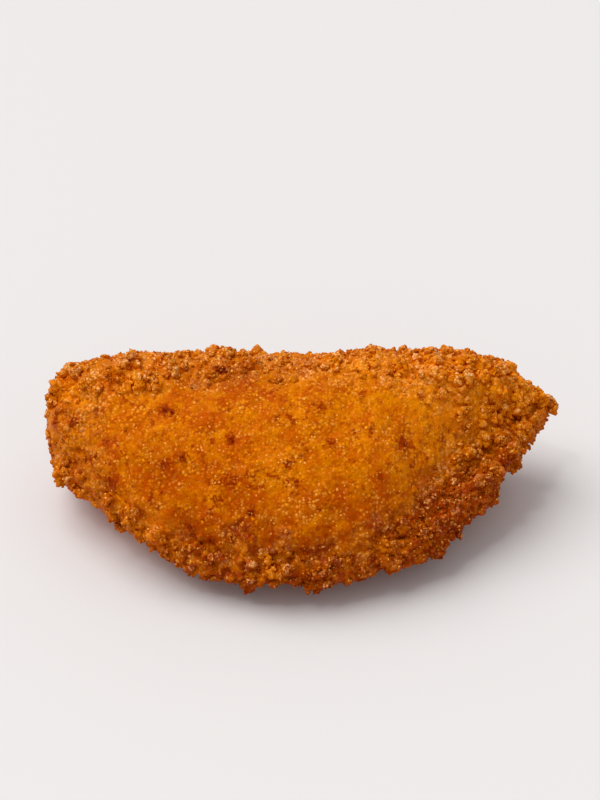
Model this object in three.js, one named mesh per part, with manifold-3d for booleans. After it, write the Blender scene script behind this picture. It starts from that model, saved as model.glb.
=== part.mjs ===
// A crumbed and fried half-moon turnover: a disc of dough folded once over its filling and sealed round the
// curved edge. Millimetres. X runs along the fold, from the blunt end to the pointed one. Y runs from the
// sealed rim at the front to the fold at the back, and Z up from the table that it lies on.
import * as THREE from "three";
import { ImprovedNoise } from "three/addons/math/ImprovedNoise.js";
import { mergeVertices } from "three/addons/utils/BufferGeometryUtils.js";
import Module from "manifold-3d";

// Driving dimensions of the turnover under its crumbs.
const HALF_LENGTH = 49.2; // half of the length along the fold
const DEPTH = 47.8; // from the foremost point of the rim to the back of the fold
const CROWN = 31; // height of the crown above the table
const BELLY_SAG = 1.1; // how far the soft belly would reach below the table, where it is pressed flat
const RIM_THICKNESS = 7.4; // the sealed double edge
const RIM_LIFT = 3.8; // underside of the rim above the table, at its foremost point
const RIM_CLIMB = 10; // how much higher the rim lies where it meets either end
const RIM_ROUND = 0.07; // share of a section's depth in which the rim's edge rounds over
const FLANGE = 2; // width of the flat of the rim, from its edge to where the belly swells
const WIDEST_FLANGE = 0.3; // the most that the flat may take of a section's depth
const CREST = 0.64; // share of a section's depth at which its crown lies
const BELLY_ARC = 1.8; // how roundly the belly rises from the rim: 1 is a straight slope, 2 a quarter ellipse

// The two ends. drawBack is how far the rim has drawn back there, foldForward how far the fold comes forward,
// middle the height of the end's centre, thickness the end's own thickness, fullness how long the body stays
// thick before it thins towards the end, flangeGain how much wider the flat of the rim gets, hollow where and how
// far the foot of the belly sinks in beside the rim, and nose the length over which the end rounds off.
const POINTED = {
  drawBack: 40.4,
  foldForward: 6.2,
  middle: 15.9,
  thickness: 3,
  fullness: 4.4,
  flangeGain: 6.5,
  hollow: { start: 0.2, full: 0.6, depth: 1 },
  nose: 2,
};
const BLUNT = {
  drawBack: 29.6,
  foldForward: 9,
  middle: 15.3,
  thickness: 17.6,
  fullness: 5.8,
  flangeGain: 0,
  hollow: { start: 0.5, full: 0.9, depth: 0.4 },
  nose: 4.5,
};

// How late each change comes along a half, as the power of the share of the half that lies behind it.
const DRAW_BACK_POWER = 2.3;
const CLIMB_POWER = 3.2;
const FOLD_POWER = 5;
const THIN_POWER = 0.8;
const RIM_TO_END_POWER = 5.2;
const RIM_THIN_POWER = 7.6;
const FOLD_TO_END_POWER = 3;
const FLANGE_POWER = 2;

// The crust: low lumps of the dough, the crags of the packed crumbs, and the largest crumbs fused on.
const LUMPS = [
  { size: 15, height: 0.9 },
  { size: 6, height: 0.5 },
];
const CRAGS = [
  { size: 2.9, height: 1.5 },
  { size: 1.7, height: 0.9 },
];
const LEAST_CRAG = 0.42; // height of the crags on the bare belly, as a share of that on the rim
const CRAG_FADE = 0.06; // share of a half in which the crags fade out at its very end
const CRUMBS = [
  { radius: 1.8, count: 24 },
  { radius: 1.4, count: 62 },
];
const CRUMB_SPACING = 1.1; // least distance between two crumbs, in the sum of their radii
const CRUMB_RISE = 0.2; // a crumb's centre above the dough, in its own radius
const CRUMB_UNEVEN = 0.28; // how far a crumb's corners leave its radius
const CRUMB_FLAT = 0.7; // a crumb's least side as a share of its widest
const CRUMB_SEED = 11;
const CRUMB_TRIES = 6000; // places looked at for each size of crumb

// Where crumbs gather, as shares: of a section's depth for the rim and the fold, of a half for the ends.
// Each band grows from its start to its full strength.
const RIM_BAND = { width: 0.055, gainPointed: 0.14, gainBlunt: 0.05, growsFrom: 0.1, growsTo: 0.6 };
const RIM_BAND_EDGE = { start: 1.6, full: 0.85 }; // in widths of the rim's band
const FOLD_BAND = { start: 0.62, full: 0.8, strength: 0.85 };
const END_BAND = { start: 0.66, full: 0.86, pointed: 1, blunt: 0.55 };
const CRUMBS_ON_TOP = 0.03; // least share of crumbs on the bare belly
const CRUMBS_BENEATH = 0.2; // and on the underside

// Fineness of the skin.
const STATIONS = 76;
const AROUND = 50;
const END_CROWDING = 0.6; // how much closer the stations stand towards the ends
const EVENING = 0.15; // how far points move from the tight rim and fold on to the broad sides, in radians
const NORMAL_STEP = 0.004; // step along the surface from which its direction is worked out

const { PI, abs, cos, min, max, sin, sqrt } = Math;
const mix = (a, b, t) => a + (b - a) * t;
const clamp01 = (t) => min(1, max(0, t));
const smooth = (t) => t * t * (3 - 2 * t);
const rise = (t, start, full) => smooth(clamp01((t - start) / (full - start)));

// The sizes of the section at q, which runs from -1 at the blunt end to 1 at the pointed one.
function sectionAt(q) {
  const end = q > 0 ? POINTED : BLUNT;
  const reach = abs(q);
  const full = (1 - reach ** end.fullness) ** THIN_POWER;
  const rimRest = RIM_LIFT + RIM_THICKNESS / 2 + RIM_CLIMB * reach ** CLIMB_POWER;
  const front = end.drawBack * reach ** DRAW_BACK_POWER;
  const back = DEPTH - end.foldForward * reach ** FOLD_POWER;
  const flangeWidth = FLANGE + end.flangeGain * reach ** FLANGE_POWER;
  return {
    front,
    back,
    flange: min(WIDEST_FLANGE, flangeWidth / (back - front)),
    rimMiddle: mix(rimRest, end.middle, reach ** RIM_TO_END_POWER),
    foldMiddle: mix(CROWN / 2, end.middle, reach ** FOLD_TO_END_POWER),
    rimHalf: mix(RIM_THICKNESS, end.thickness, reach ** RIM_THIN_POWER) / 2,
    top: mix(end.middle + end.thickness / 2, CROWN, full),
    bottom: mix(end.middle - end.thickness / 2, -BELLY_SAG, full),
    hollow: end.hollow.depth * rise(reach, end.hollow.start, end.hollow.full),
  };
}

// A point of that section. turn runs from 0 at the rim's edge over the crown to PI at the back of the fold,
// and on under the belly to 2 PI at the rim's edge again.
function sectionPoint(q, turn) {
  const s = sectionAt(q);
  const share = (1 - cos(turn)) / 2;
  const pastCrest = max(0, share - CREST) / (1 - CREST);
  const foldRound = sqrt(max(0, 1 - pastCrest ** 2));
  const rimRound = sqrt(1 - (1 - min(1, share / RIM_ROUND)) ** 2);
  const above = turn <= PI;
  const climb = clamp01((share - s.flange) / (CREST - s.flange));
  const fullArc = (1 - (1 - climb) ** BELLY_ARC) ** (1 / BELLY_ARC);
  const swell = mix(fullArc, smooth(climb), above ? s.hollow : 1) * foldRound;
  const crestMiddle = mix(s.rimMiddle, s.foldMiddle, CREST);
  const reach = above ? s.top - crestMiddle : crestMiddle - s.bottom;
  const offset = s.rimHalf * rimRound * foldRound + max(0, reach - s.rimHalf) * swell;
  const middle = mix(s.rimMiddle, s.foldMiddle, share);
  return new THREE.Vector3(q * HALF_LENGTH, mix(s.front, s.back, share), middle + (above ? offset : -offset));
}

// A point of the smooth body: the section's point, drawn in to the section's centre where an end rounds off.
function bodyPoint(q, turn) {
  const end = q > 0 ? POINTED : BLUNT;
  const intoNose = clamp01(1 - ((1 - abs(q)) * HALF_LENGTH) / end.nose);
  const shrink = sqrt(max(0, 1 - intoNose ** 2));
  const s = sectionAt(q);
  const centre = new THREE.Vector3(q * HALF_LENGTH, (s.front + s.back) / 2, (s.top + s.bottom) / 2);
  return centre.lerp(sectionPoint(q, turn), shrink);
}

// The body's outward direction there, from two short steps along the surface.
function bodyNormal(q, turn) {
  const along = bodyPoint(min(1, q + NORMAL_STEP), turn).sub(bodyPoint(max(-1, q - NORMAL_STEP), turn));
  const around = bodyPoint(q, turn + NORMAL_STEP).sub(bodyPoint(q, turn - NORMAL_STEP));
  return around.cross(along).normalize();
}

// How crumbs gather there, from 0 to 1: thick on the rim, at the ends and along the fold, thin on the belly.
function crumbiness(q, turn) {
  const share = (1 - cos(turn)) / 2;
  const gain = q > 0 ? RIM_BAND.gainPointed : RIM_BAND.gainBlunt;
  const band = RIM_BAND.width + gain * rise(abs(q), RIM_BAND.growsFrom, RIM_BAND.growsTo);
  const nearRim = rise(share / band, RIM_BAND_EDGE.start, RIM_BAND_EDGE.full);
  const nearFold = FOLD_BAND.strength * rise(share, FOLD_BAND.start, FOLD_BAND.full);
  const nearEnd = (q > 0 ? END_BAND.pointed : END_BAND.blunt) * rise(abs(q), END_BAND.start, END_BAND.full);
  return max(turn > PI ? CRUMBS_BENEATH : CRUMBS_ON_TOP, nearRim, nearFold, nearEnd);
}

// The sum of several layers of noise at a point, each with its own size and height.
const noise = new ImprovedNoise();
function layered(layers, { x, y, z }) {
  let sum = 0;
  for (const { size, height } of layers) sum += height * noise.noise(x / size, y / size, z / size);
  return sum;
}

// The crust's surface with its lumps and crags, pressed flat where it lies on the table.
function crustPoint(q, turn) {
  const p = bodyPoint(q, turn);
  const fade = rise(1 - abs(q), 0, CRAG_FADE);
  const crag = mix(LEAST_CRAG, 1, crumbiness(q, turn)) * layered(CRAGS, p);
  p.addScaledVector(bodyNormal(q, turn), fade * (layered(LUMPS, p) + crag));
  p.z = max(0, p.z);
  return p;
}

// The skin of the crust as one closed mesh: rings of points between a single point at either end.
function crustSkin() {
  const positions = [];
  const faces = [];
  const put = (p) => positions.push(p.x, p.y, p.z) / 3 - 1;
  const stationAt = (i) => {
    const even = (2 * i) / STATIONS - 1;
    return mix(even, sin((even * PI) / 2), END_CROWDING);
  };
  const turnAt = (j) => {
    const even = (2 * PI * j) / AROUND;
    return even + EVENING * sin(2 * even);
  };
  const bluntTip = put(bodyPoint(-1, 0));
  const rings = [];
  for (let i = 1; i < STATIONS; i++) {
    const ring = [];
    for (let j = 0; j < AROUND; j++) ring.push(put(crustPoint(stationAt(i), turnAt(j))));
    rings.push(ring);
  }
  const pointedTip = put(bodyPoint(1, 0));
  for (let j = 0; j < AROUND; j++) {
    const k = (j + 1) % AROUND;
    faces.push(bluntTip, rings[0][j], rings[0][k]);
    for (let i = 1; i < rings.length; i++) {
      const [a, b, c, d] = [rings[i - 1][j], rings[i][j], rings[i][k], rings[i - 1][k]];
      faces.push(a, b, c, a, c, d);
    }
    faces.push(pointedTip, rings.at(-1)[k], rings.at(-1)[j]);
  }
  const geometry = new THREE.BufferGeometry();
  geometry.setAttribute("position", new THREE.Float32BufferAttribute(positions, 3));
  geometry.setIndex(faces);
  return geometry;
}

// A repeatable random number from 0 to 1.
function seeded(seed) {
  let state = seed;
  return () => {
    state = (state * 1664525 + 1013904223) % 2 ** 32;
    return state / 2 ** 32;
  };
}

// One crumb: an uneven, flattened lump of 20 faces about its own centre.
function crumbShape(radius, random) {
  const shape = closed(new THREE.IcosahedronGeometry(radius));
  const corner = new THREE.Vector3();
  const position = shape.getAttribute("position");
  for (let i = 0; i < position.count; i++) {
    corner.fromBufferAttribute(position, i).multiplyScalar(1 + CRUMB_UNEVEN * (2 * random() - 1));
    position.setXYZ(i, corner.x, corner.y, corner.z);
  }
  shape.scale(1, mix(CRUMB_FLAT, 1, random()), mix(CRUMB_FLAT, 1, random()));
  const tilt = new THREE.Euler(PI * random(), 2 * PI * random(), 2 * PI * random());
  return shape.applyMatrix4(new THREE.Matrix4().makeRotationFromEuler(tilt));
}

// Where the crumbs stick, each clear of those before it.
function scatterCrumbs() {
  const random = seeded(CRUMB_SEED);
  const placed = [];
  for (const { radius, count } of CRUMBS) {
    let wanted = count;
    for (let tries = 0; wanted > 0 && tries < CRUMB_TRIES; tries++) {
      const q = 2 * random() - 1;
      const turn = 2 * PI * random();
      if (random() > crumbiness(q, turn)) continue;
      const centre = crustPoint(q, turn).addScaledVector(bodyNormal(q, turn), radius * CRUMB_RISE);
      const room = ({ centre: other, size }) => centre.distanceTo(other) > (size + radius) * CRUMB_SPACING;
      if (!placed.every(room)) continue;
      placed.push({ centre, size: radius });
      wanted--;
    }
  }
  return placed.map(({ centre, size }) =>
    crumbShape(size, random).translate(centre.x, centre.y, centre.z));
}

// A geometry with its shared corners merged, so that it is one closed surface.
function closed(geometry) {
  const bare = geometry.clone();
  bare.deleteAttribute("normal");
  bare.deleteAttribute("uv");
  return mergeVertices(bare);
}

const wasm = await Module();
wasm.setup();

function toSolid(geometry) {
  const merged = closed(geometry);
  const vertProperties = new Float32Array(merged.getAttribute("position").array);
  const triVerts = new Uint32Array(merged.index.array);
  return new wasm.Manifold(new wasm.Mesh({ numProp: 3, vertProperties, triVerts }));
}

function toGeometry(solid) {
  const mesh = solid.getMesh();
  const geometry = new THREE.BufferGeometry();
  geometry.setAttribute("position", new THREE.BufferAttribute(mesh.vertProperties, 3));
  geometry.setIndex(new THREE.BufferAttribute(mesh.triVerts, 1));
  return geometry;
}

// The dough with its crumbs fused on, and whatever reaches below the table cut away.
function crumbedTurnover() {
  const fused = wasm.Manifold.union([crustSkin(), ...scatterCrumbs()].map(toSolid));
  const room = 4 * HALF_LENGTH;
  const table = toSolid(new THREE.BoxGeometry(room, room, room).translate(0, 0, -room / 2));
  const [body] = fused.subtract(table).decompose().sort((a, b) => b.volume() - a.volume());
  return toGeometry(body);
}

const crust = new THREE.MeshStandardMaterial({ color: 0xc6731c, roughness: 0.62, metalness: 0 });
const rissole = new THREE.Mesh(crumbedTurnover(), crust);
rissole.name = "rissole";

// The origin is on the table, under the middle of the whole.
rissole.geometry.computeBoundingBox();
const middle = rissole.geometry.boundingBox.getCenter(new THREE.Vector3());
rissole.position.set(-middle.x, -middle.y, 0);

const group = new THREE.Group();
group.add(rissole);

export default group;
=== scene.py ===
"""A fried half-moon rissole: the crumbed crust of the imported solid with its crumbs, on a pale floor."""

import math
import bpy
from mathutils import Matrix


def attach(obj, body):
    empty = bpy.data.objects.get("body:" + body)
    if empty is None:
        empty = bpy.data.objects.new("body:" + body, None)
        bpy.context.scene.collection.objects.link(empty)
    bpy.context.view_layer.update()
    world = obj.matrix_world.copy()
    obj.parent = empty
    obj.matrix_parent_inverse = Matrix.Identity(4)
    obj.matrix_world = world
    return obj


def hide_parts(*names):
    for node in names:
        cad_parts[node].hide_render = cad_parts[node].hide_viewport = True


bl_info = {
    "name": "Fried rissole",
    "version": (1, 0, 0),
    "blender": (4, 5, 0),
    "location": "3D View > Sidebar > Rissole",
    "description": "Makes the crust and crumbs of a fried half-moon rissole, and its studio",
    "category": "Object",
}

import bmesh
import bpy
import numpy as np
from bpy.props import FloatProperty, FloatVectorProperty, IntProperty, PointerProperty
from mathutils import Euler, Vector, noise

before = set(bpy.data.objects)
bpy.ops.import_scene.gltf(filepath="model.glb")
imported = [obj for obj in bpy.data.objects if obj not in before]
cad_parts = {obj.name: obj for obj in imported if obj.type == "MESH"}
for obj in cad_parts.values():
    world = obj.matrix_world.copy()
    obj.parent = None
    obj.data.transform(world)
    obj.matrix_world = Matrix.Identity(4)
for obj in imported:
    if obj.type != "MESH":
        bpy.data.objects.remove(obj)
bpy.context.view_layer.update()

BODY = "root"
NODE = "rissole"
MM = 0.001

# The form under the crumbs repeats the solid's own sizes. Shares are of a section's depth.
FORM_SHIFT = (0.240 * MM, -24.764 * MM, 0.0)
RIM_ROUND = 0.07
WIDEST_FLANGE = 0.3
CREST = 0.64
POINTED = dict(
    draw_back=40.4 * MM,
    fold_forward=6.2 * MM,
    middle=15.9 * MM,
    thickness=3 * MM,
    fullness=4.4,
    flange_gain=6.5 * MM,
    nose=2 * MM,
)
BLUNT = dict(
    draw_back=29.6 * MM,
    fold_forward=9 * MM,
    middle=15.3 * MM,
    thickness=17.6 * MM,
    fullness=5.8,
    flange_gain=0.0,
    nose=4.5 * MM,
)
DRAW_BACK_POWER = 2.3
CLIMB_POWER = 3.2
FOLD_POWER = 5
THIN_POWER = 0.8
RIM_TO_END_POWER = 5.2
RIM_THIN_POWER = 7.6
FOLD_TO_END_POWER = 3
FLANGE_POWER = 2
BELLY_ARC = 1.8
POINTED_HOLLOW = (0.2, 0.6)
BLUNT_HOLLOW = (0.5, 0.9)
BLUNT_HOLLOW_SHARE = 0.4

# Where crumbs gather, as shares of a section's depth. The rim's band ends at the ridge along its top edge.
# Towards the pointed end it widens.
RIM_BAND = 0.045
RIM_BAND_POINTED = 1.05
RIM_BAND_BLUNT = -0.03
RIM_BAND_EDGE = (1.8, 0.75)
RIM_BAND_POWER = 3
FOLD_BAND = (0.56, 0.7, 0.9)
FOLD_BAND_WIDENS = 0.33
# The ends' bands are shares of a half's length. The last number of a band is how thickly crumbs gather there.
POINTED_BAND = (0.5, 0.76, 1.0)
BLUNT_BAND = (0.66, 0.86, 0.6)
# How far the bands' edges wander along and round, and the size in millimetres of their waves.
BAND_WANDER = (0.06, 0.16)
BAND_WANDER_SIZES = (8, 5)
LEAST_CRUMBS = 0.05
END_FADE = 0.06

# Places on the form: how far along, from -1 at the blunt end to 1 at the pointed one, the turn round the
# section, and a radius in millimetres.
SCORCHED_SPOTS = (
    (-0.515, 1.43, 1.1),
    (-0.485, 1.42, 0.7),
    (-0.305, 1.94, 1.3),
    (-0.180, 0.70, 0.9),
    (0.985, 0.90, 1.3),
)
BROWNED_SPOTS = (
    (-0.260, 1.26, 1.3),
    (0.395, 1.27, 1.5),
    (0.080, 1.55, 1.1),
    (-0.015, 0.96, 1.2),
    (0.300, 0.99, 0.8),
    (-0.335, 0.44, 1.4),
    (-0.415, 0.49, 1.2),
    (-0.260, 0.93, 1.4),
    (-0.305, 0.77, 1.3),
    (0.120, 1.27, 1.0),
    (-0.045, 1.10, 1.0),
    (-0.445, 1.05, 1.2),
    (-0.510, 0.94, 1.3),
    (-0.880, 0.98, 1.4),
    (-0.950, 0.30, 0.9),
    (-0.958, 0.55, 1.5),
    (-0.715, 0.54, 1.8),
    (0.665, 1.13, 1.3),
    (0.840, 1.34, 1.1),
    (0.790, 0.26, 2.4),
    (-0.740, 0.95, 0.9),
    (-0.800, 0.60, 0.9),
)
# How far a browned spot goes towards a scorched one.
BROWNED_SHARE = 0.75
# Where few crumbs stand.
BARE_PATCHES = ((0.705, 1.61, 1.2), (0.685, 1.54, 1.1), (0.672, 1.30, 1.3), (0.790, 0.20, 1.6))
# Broad soft patches that are browner, or paler where their last number is below 0: partly uneven frying and
# partly painted light and shade. Their places and strengths were set by comparing the brightness of renders
# with the photo's.
UNEVEN = (
    (0.545, 1.64, 6.0, -0.62),
    (0.290, 1.30, 4.5, -0.3),
    (0.920, 0.80, 2.5, 0.3),
    (0.130, 0.85, 4.0, 0.4),
    (0.140, 2.05, 4.0, -0.45),
    (0.300, 2.05, 4.0, -0.3),
    (0.430, 2.05, 3.5, -0.2),
    (-0.540, 1.30, 3.5, -0.25),
    (-0.640, 1.60, 3.0, -0.35),
    (-0.345, 0.80, 3.0, -0.3),
    (0.860, 1.60, 6.5, -0.95),
    (0.960, 1.30, 3.0, -0.3),
    (0.320, 1.85, 4.5, -0.15),
    (-0.680, 1.75, 5.0, -0.25),
    (-0.905, 1.50, 4.0, -0.5),
    (-0.560, 0.35, 5.0, -0.4),
    (0.180, 0.50, 4.5, -0.2),
    (-0.090, 1.13, 5.0, -0.35),
    (0.480, 1.35, 5.0, -0.3),
    (-0.810, 0.60, 4.5, 0.4),
    (-0.730, 1.85, 3.5, 0.3),
    (-0.960, 1.10, 2.5, 0.3),
    (-0.560, 0.93, 4.5, 0.5),
    (0.670, 0.70, 6.0, 0.4),
    (0.820, 0.65, 4.0, 0.45),
    (0.560, 0.35, 5.5, 0.35),
    (-0.250, 1.90, 6.5, 0.65),
    (-0.100, 0.40, 4.5, -0.35),
    (-0.430, 0.32, 3.5, -0.25),
    (-0.430, 0.60, 3.0, 0.3),
    (-0.200, 0.64, 5.0, 0.4),
    (-0.250, 0.40, 3.5, -0.35),
    (0.330, 0.40, 3.5, -0.35),
    (0.550, 1.85, 3.5, -0.3),
    (0.400, 1.70, 3.0, -0.25),
)
# Clumps of crumbs that stand out from the crust, and how crumby the crust is in the middle of one.
CLUMPS = (
    (0.630, 2.32, 3.2),
    (0.695, 2.06, 2.6),
    (0.500, 2.18, 2.4),
    (0.515, 1.78, 2.0),
    (0.725, 0.51, 2.4),
    (0.650, 1.13, 1.5),
    (0.860, 6.07, 1.3),
    (0.985, 1.00, 1.6),
    (-0.310, 2.36, 2.9),
    (0.800, 2.25, 2.4),
    (0.350, 6.15, 1.8),
    (0.430, 6.10, 2.6),
    (0.520, 6.10, 3.0),
    (0.620, 1.73, 1.5),
    (0.550, 1.62, 1.4),
    (0.525, 1.99, 1.6),
    (0.700, 1.95, 1.5),
    (0.720, 1.76, 1.3),
    (0.780, 1.87, 1.6),
    (0.835, 1.75, 1.4),
    (0.885, 1.50, 1.5),
    (0.955, 1.55, 1.3),
    (0.775, 1.22, 1.3),
    (0.740, 1.10, 1.3),
    (0.875, 0.82, 1.6),
    (0.820, 0.45, 1.5),
    (0.590, 0.84, 1.4),
    (0.530, 0.75, 1.3),
    (0.390, 0.56, 1.5),
    (0.320, 0.47, 1.4),
    (0.150, 0.37, 1.5),
    (-0.135, 0.33, 1.5),
    (-0.350, 0.31, 1.6),
    (-0.525, 0.35, 1.6),
    (-0.640, 0.26, 1.4),
    (-0.805, 1.64, 1.8),
    (-0.690, 1.83, 1.5),
    (-0.910, 1.20, 1.4),
    (-0.190, 2.06, 1.3),
    (0.115, 2.02, 1.3),
    (0.405, 1.97, 1.4),
    (-0.510, 1.95, 1.6),
    (-0.615, 1.71, 2.2),
    (-0.875, 2.06, 1.8),
    (-0.925, 5.97, 1.8),
    (-0.955, 1.75, 2.2),
    (0.595, 1.61, 1.7),
    (0.565, 1.55, 1.3),
    (0.530, 1.50, 1.1),
    (0.620, 1.43, 1.4),
    (0.660, 1.54, 1.0),
    (0.775, 1.61, 1.5),
    (0.800, 1.52, 1.5),
    (0.720, 1.43, 1.3),
    (0.840, 1.47, 1.4),
    (0.765, 1.29, 1.5),
    (0.885, 1.34, 1.4),
    (0.785, 0.91, 1.6),
    (0.710, 1.17, 1.2),
    (0.745, 0.49, 1.8),
    (0.810, 0.23, 1.6),
    (-0.350, 5.95, 1.7),
    (-0.190, 5.95, 1.4),
    (0.730, 6.05, 2.4),
)
CLUMP_ZONE = 0.9

# Relief of the crust. Sizes and heights are in millimetres, and shares are of the panel's heights. A clump's
# height is a share of its radius, and the shift keeps the knobs from standing where the grains do.
END_CROWDING = 0.6
LUMP_SIZES = (15, 6)
SMALL_LUMPS = 0.55
CRAG_SIZES = (2.9, 1.7)
SMALL_CRAGS = 0.6
LEAST_CRAG = 0.2
LEAST_GRAIN = 0.55
KNOB_SIZE = 1.9
KNOB_HEIGHT = 0.7
KNOB_SHIFT = 40
FINE_SIZE = 0.9
FINE_SHARE = 0.5
CLUMP_HEIGHT = 0.38
# How fast a grain falls from its middle, its gap as a share of its size, and what turns its place into a
# number that looks random.
GRAIN_FALL = 1.5
GRAIN_GAP = 0.25
MARK_MIX = (12.99, 78.23, 37.72)
MARK_SPREAD = 437.58

# Steps in which the middle section's edge is measured.
TURN_STEPS = 2000

# Each kind of crumb: what it adds to the seed, the level of the ball it is made from, and how many knobs.
CRUMB_KINDS = dict(coarse=(0, 3, 12), small=(1, 2, 7), fine=(2, 1, 4), grit=(3, 1, 4))

# Crumbs. Lengths are in millimetres, and shares are of a crumb's radius. How jagged a crumb is holds for a
# ball of the fewest points. In a zone below the belly's, crumbs sink deeper.
SHAPES = 12
FEWEST_POINTS = 12
CORE = 0.5
KNOB_OUT = (0.45, 0.75)
KNOB_RADIUS = (0.34, 0.5)
KNOB_DRIFT = 0.25
KNOB_FOOT = 0.5
JAGGED = 0.32
STRETCH = (0.75, 1.2)
SIZE_SPREAD = 0.25
ZONE_SIZES = (0.65, 1.15)
STAND_OFF = (-0.5, 0.3)
SUNK_ON_BELLY = 0.3
BELLY_ZONE = 0.5
LEAST_CRUMB_HEIGHT = 1.2
TABLE_CLEARANCE = 1.2
CELL_FILL = 0.94

# How thickly the crumbs lie: on the belly, in clumps, and in clouds whose spacing is in millimetres. A
# breadth widens the clouds.
CLUMP_SPACING = 5
CLUMP_BREADTH = 0.4
IN_CLUMPS = 4
SMALL_ON_BELLY = 0.03
FINE_ON_BELLY = 0.08
GRIT_LESS_AMONG_CRUMBS = 0.5
GRIT_BREADTH = 0.25
LEAST_GRIT = 0.12

# Crowding, which sets how open each point lies for the painted shade and highlights. The grid's cells and how
# far out each point looks are in millimetres, and margins are in cells.
CROWD_CELL = 0.5
CROWD_REACH = 0.7
CROWD_RANGE = (0.25, 1.4)
LOW_MARGIN = 6
HIGH_MARGIN = 2

# Colours of the crust. Widths and heights are in millimetres. Clouds are a width, a detail and a roughness. A
# range is spread over 0 to 1, or over its last two numbers.
SKIN_GRAIN = (0.62, 0.14)
CRUMB_GRAIN = (0.42, 0.16)
GRAIN_DRIFT = 1.5
GRAIN_CLOUDS = (3.5, 2.0, 0.5)
GRAIN_CLOUD_RANGE = (0.4, 0.6, 0.3, 1)
GRAIN_DOME_RANGE = (0.7, 0.15)
GRAIN_GAP_RANGE = (0.45, 0.8)
MOTTLE_CLOUDS = (5.5, 4.0, 0.65)
MOTTLE_RANGE = (0.38, 0.62)
MOTTLE_BY_TONE = (0, 1, -0.35, 0.35)
MOTTLE_BY_ZONE = (0.1, 0.7, 0, 0.25)
PALE_RANGE = (0, -1)

# Rust gathers in flecks. Painted shade in rust colour fills the gaps between grains, and the crust turns
# towards rust low at the front, partly browning and partly painted shade. Heights, and the place where there
# is less of it, are in millimetres. The share for the front is how much a step forward counts as a step down.
RUST_CLOUDS = (1.4, 3.0, 0.6)
RUST_RANGE = (0.48, 0.62)
RUST_PATCH_CLOUDS = (6, 1.0, 0.5)
RUST_PATCH_RANGE = (0.42, 0.6, 0.15, 0.95)
RUST_BY_ZONE = (0, 1, 1, 0.65)
GAP_SHADE = 0.5
BROWN_SHADE_FRONT = 0.6
BROWN_SHADE_BELOW = (24, 2)
BROWN_SHADE_BY_ZONE = (0, 0.6, 0.5, 0.9)
BROWN_SHADE_LESS_AT = (-42, -21)
BROWN_SHADE_LEAST = 0.3
BROWN_SHADE_CLOUDS = (2.2, 2.0, 0.5)
BROWN_SHADE_CLOUD_RANGE = (0.4, 0.6, 0.6, 1.3)

# Light grains, with a lace of lighter ones.
LACE_CLOUDS = (3, 2.0, 0.6)
LACE_RANGE = (0.47, 0.62)
LACE_SHARE = 0.8
FLECK_RANGE = (0.5, 0.95, 0, 0.88)

# Pale crumb tips, a painted highlight where a crumb lies open and faces up, and more near the top, by height
# in millimetres.
HIGHLIGHT_BY_TONE = (0.1, 0.9, 0.65, 1)
HIGHLIGHT_RANGE = (0.45, 1)
HIGHLIGHT_POWER = 1.8
HIGHLIGHT_ZONE = (0.1, 0.8)
HIGHLIGHT_BY_GRAIN = (0.1, 0.9, 0.05, 2.7)
HIGHLIGHT_BY_BROWN = (0, 0.8, 1.2, 0.95)
LIT_FACING = (-0.25, 0.75)
HIGHLIGHT_ABOVE = (23, 30)
HIGHLIGHT_AT_TOP = 1.5
TIP_HIGHLIGHT_ON_SKIN = 0.2
TIP_HIGHLIGHT_ON_CRUMBS = 1.0

# Painted shade in the gaps between crumbs and on what faces down. The shares are of rust in the painted shade
# where the crust is brown, and of gold in the painted shade on upward gaps.
DEEP_RANGE = (0.45, -0.3)
DEEP_BY_ZONE = (0, 0.7, 0.5, 1)
UNDER_RANGE = (0.2, -0.6, 0, 0.6)
RUST_IN_CREVICE = 0.85
GOLD_IN_CREVICE = 0.45

# Ragged browned and scorched spots.
SPOT_CLOUDS = (0.6, 2.0, 0.5)
SPOT_CLOUD_RANGE = (0.3, 0.7, -0.3, 0.3)
SPOT_RANGE = (0.1, 0.5, 0, 0.9)
SCORCH_RANGE = (0.5, 0.95)

# Painted glints of oil, specks painted light on what faces up: their spacing, their radius and the share of
# it that is bright. Each has a random number, and the ranges say from which one on it shines.
PAINTED_GLINT_SPACING = 0.68
PAINTED_GLINT_RADIUS = 0.23
PAINTED_GLINT_CORE = 0.5
PAINTED_GLINTS_ON_SKIN = (0.46, 0.94)
PAINTED_GLINTS_ON_CRUMBS = (0.1, 0.7)
PAINTED_GLINT_BY_LACE = (0, 1, 0.4, 1)

# The oily surface, and how far light spreads under it, for red, green and blue. A glow is its strength and
# its depth in millimetres.
ROUGH_CLOUDS = (1.5, 2.0, 0.5)
ROUGH_RANGE = (0.35, 0.65, 0.3, 0.5)
FINE_CLOUDS = (0.35, 2.0, 0.6)
FINE_DEPTH = 0.07
SPECULAR = 0.05
GLOW_REACH = (1.0, 0.3, 0.08)
SKIN_GLOW = (0.08, 0.4)
CRUMB_GLOW = (0.0, 0.3)

# The studio. The floor's reach and the size of its clouds are in metres, and its gap under the rissole is in
# millimetres. The frame's height and the row that the camera aims at are in pixels.
FLOOR_REACH = 3
FLOOR_GAP = 0.05
FLOOR_CLOUDS = 0.3
FLOOR_ROUGHNESS = (0.3, 0.7, 0.5, 0.56)
KEY_FROM = (-0.55, 0.2, 1.0)
GLINT_FROM = (-0.35, -0.25, 1.0)
GLINT_WIDTH = math.radians(4)
SENSOR = 36
FRAME_HEIGHT = 800
AIM_AT = (0.240, -1.064, 14)
AIM_ROW = 470
NEAREST_SEEN = 0.01

BAKE_MAP = "OFBake"


def linear(red, green, blue):
    """A colour given as 0 to 255 on screen, as linear light with full alpha."""

    def one(value):
        value /= 255
        return value / 12.92 if value <= 0.04045 else ((value + 0.055) / 1.055) ** 2.4

    return one(red), one(green), one(blue), 1.0


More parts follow.
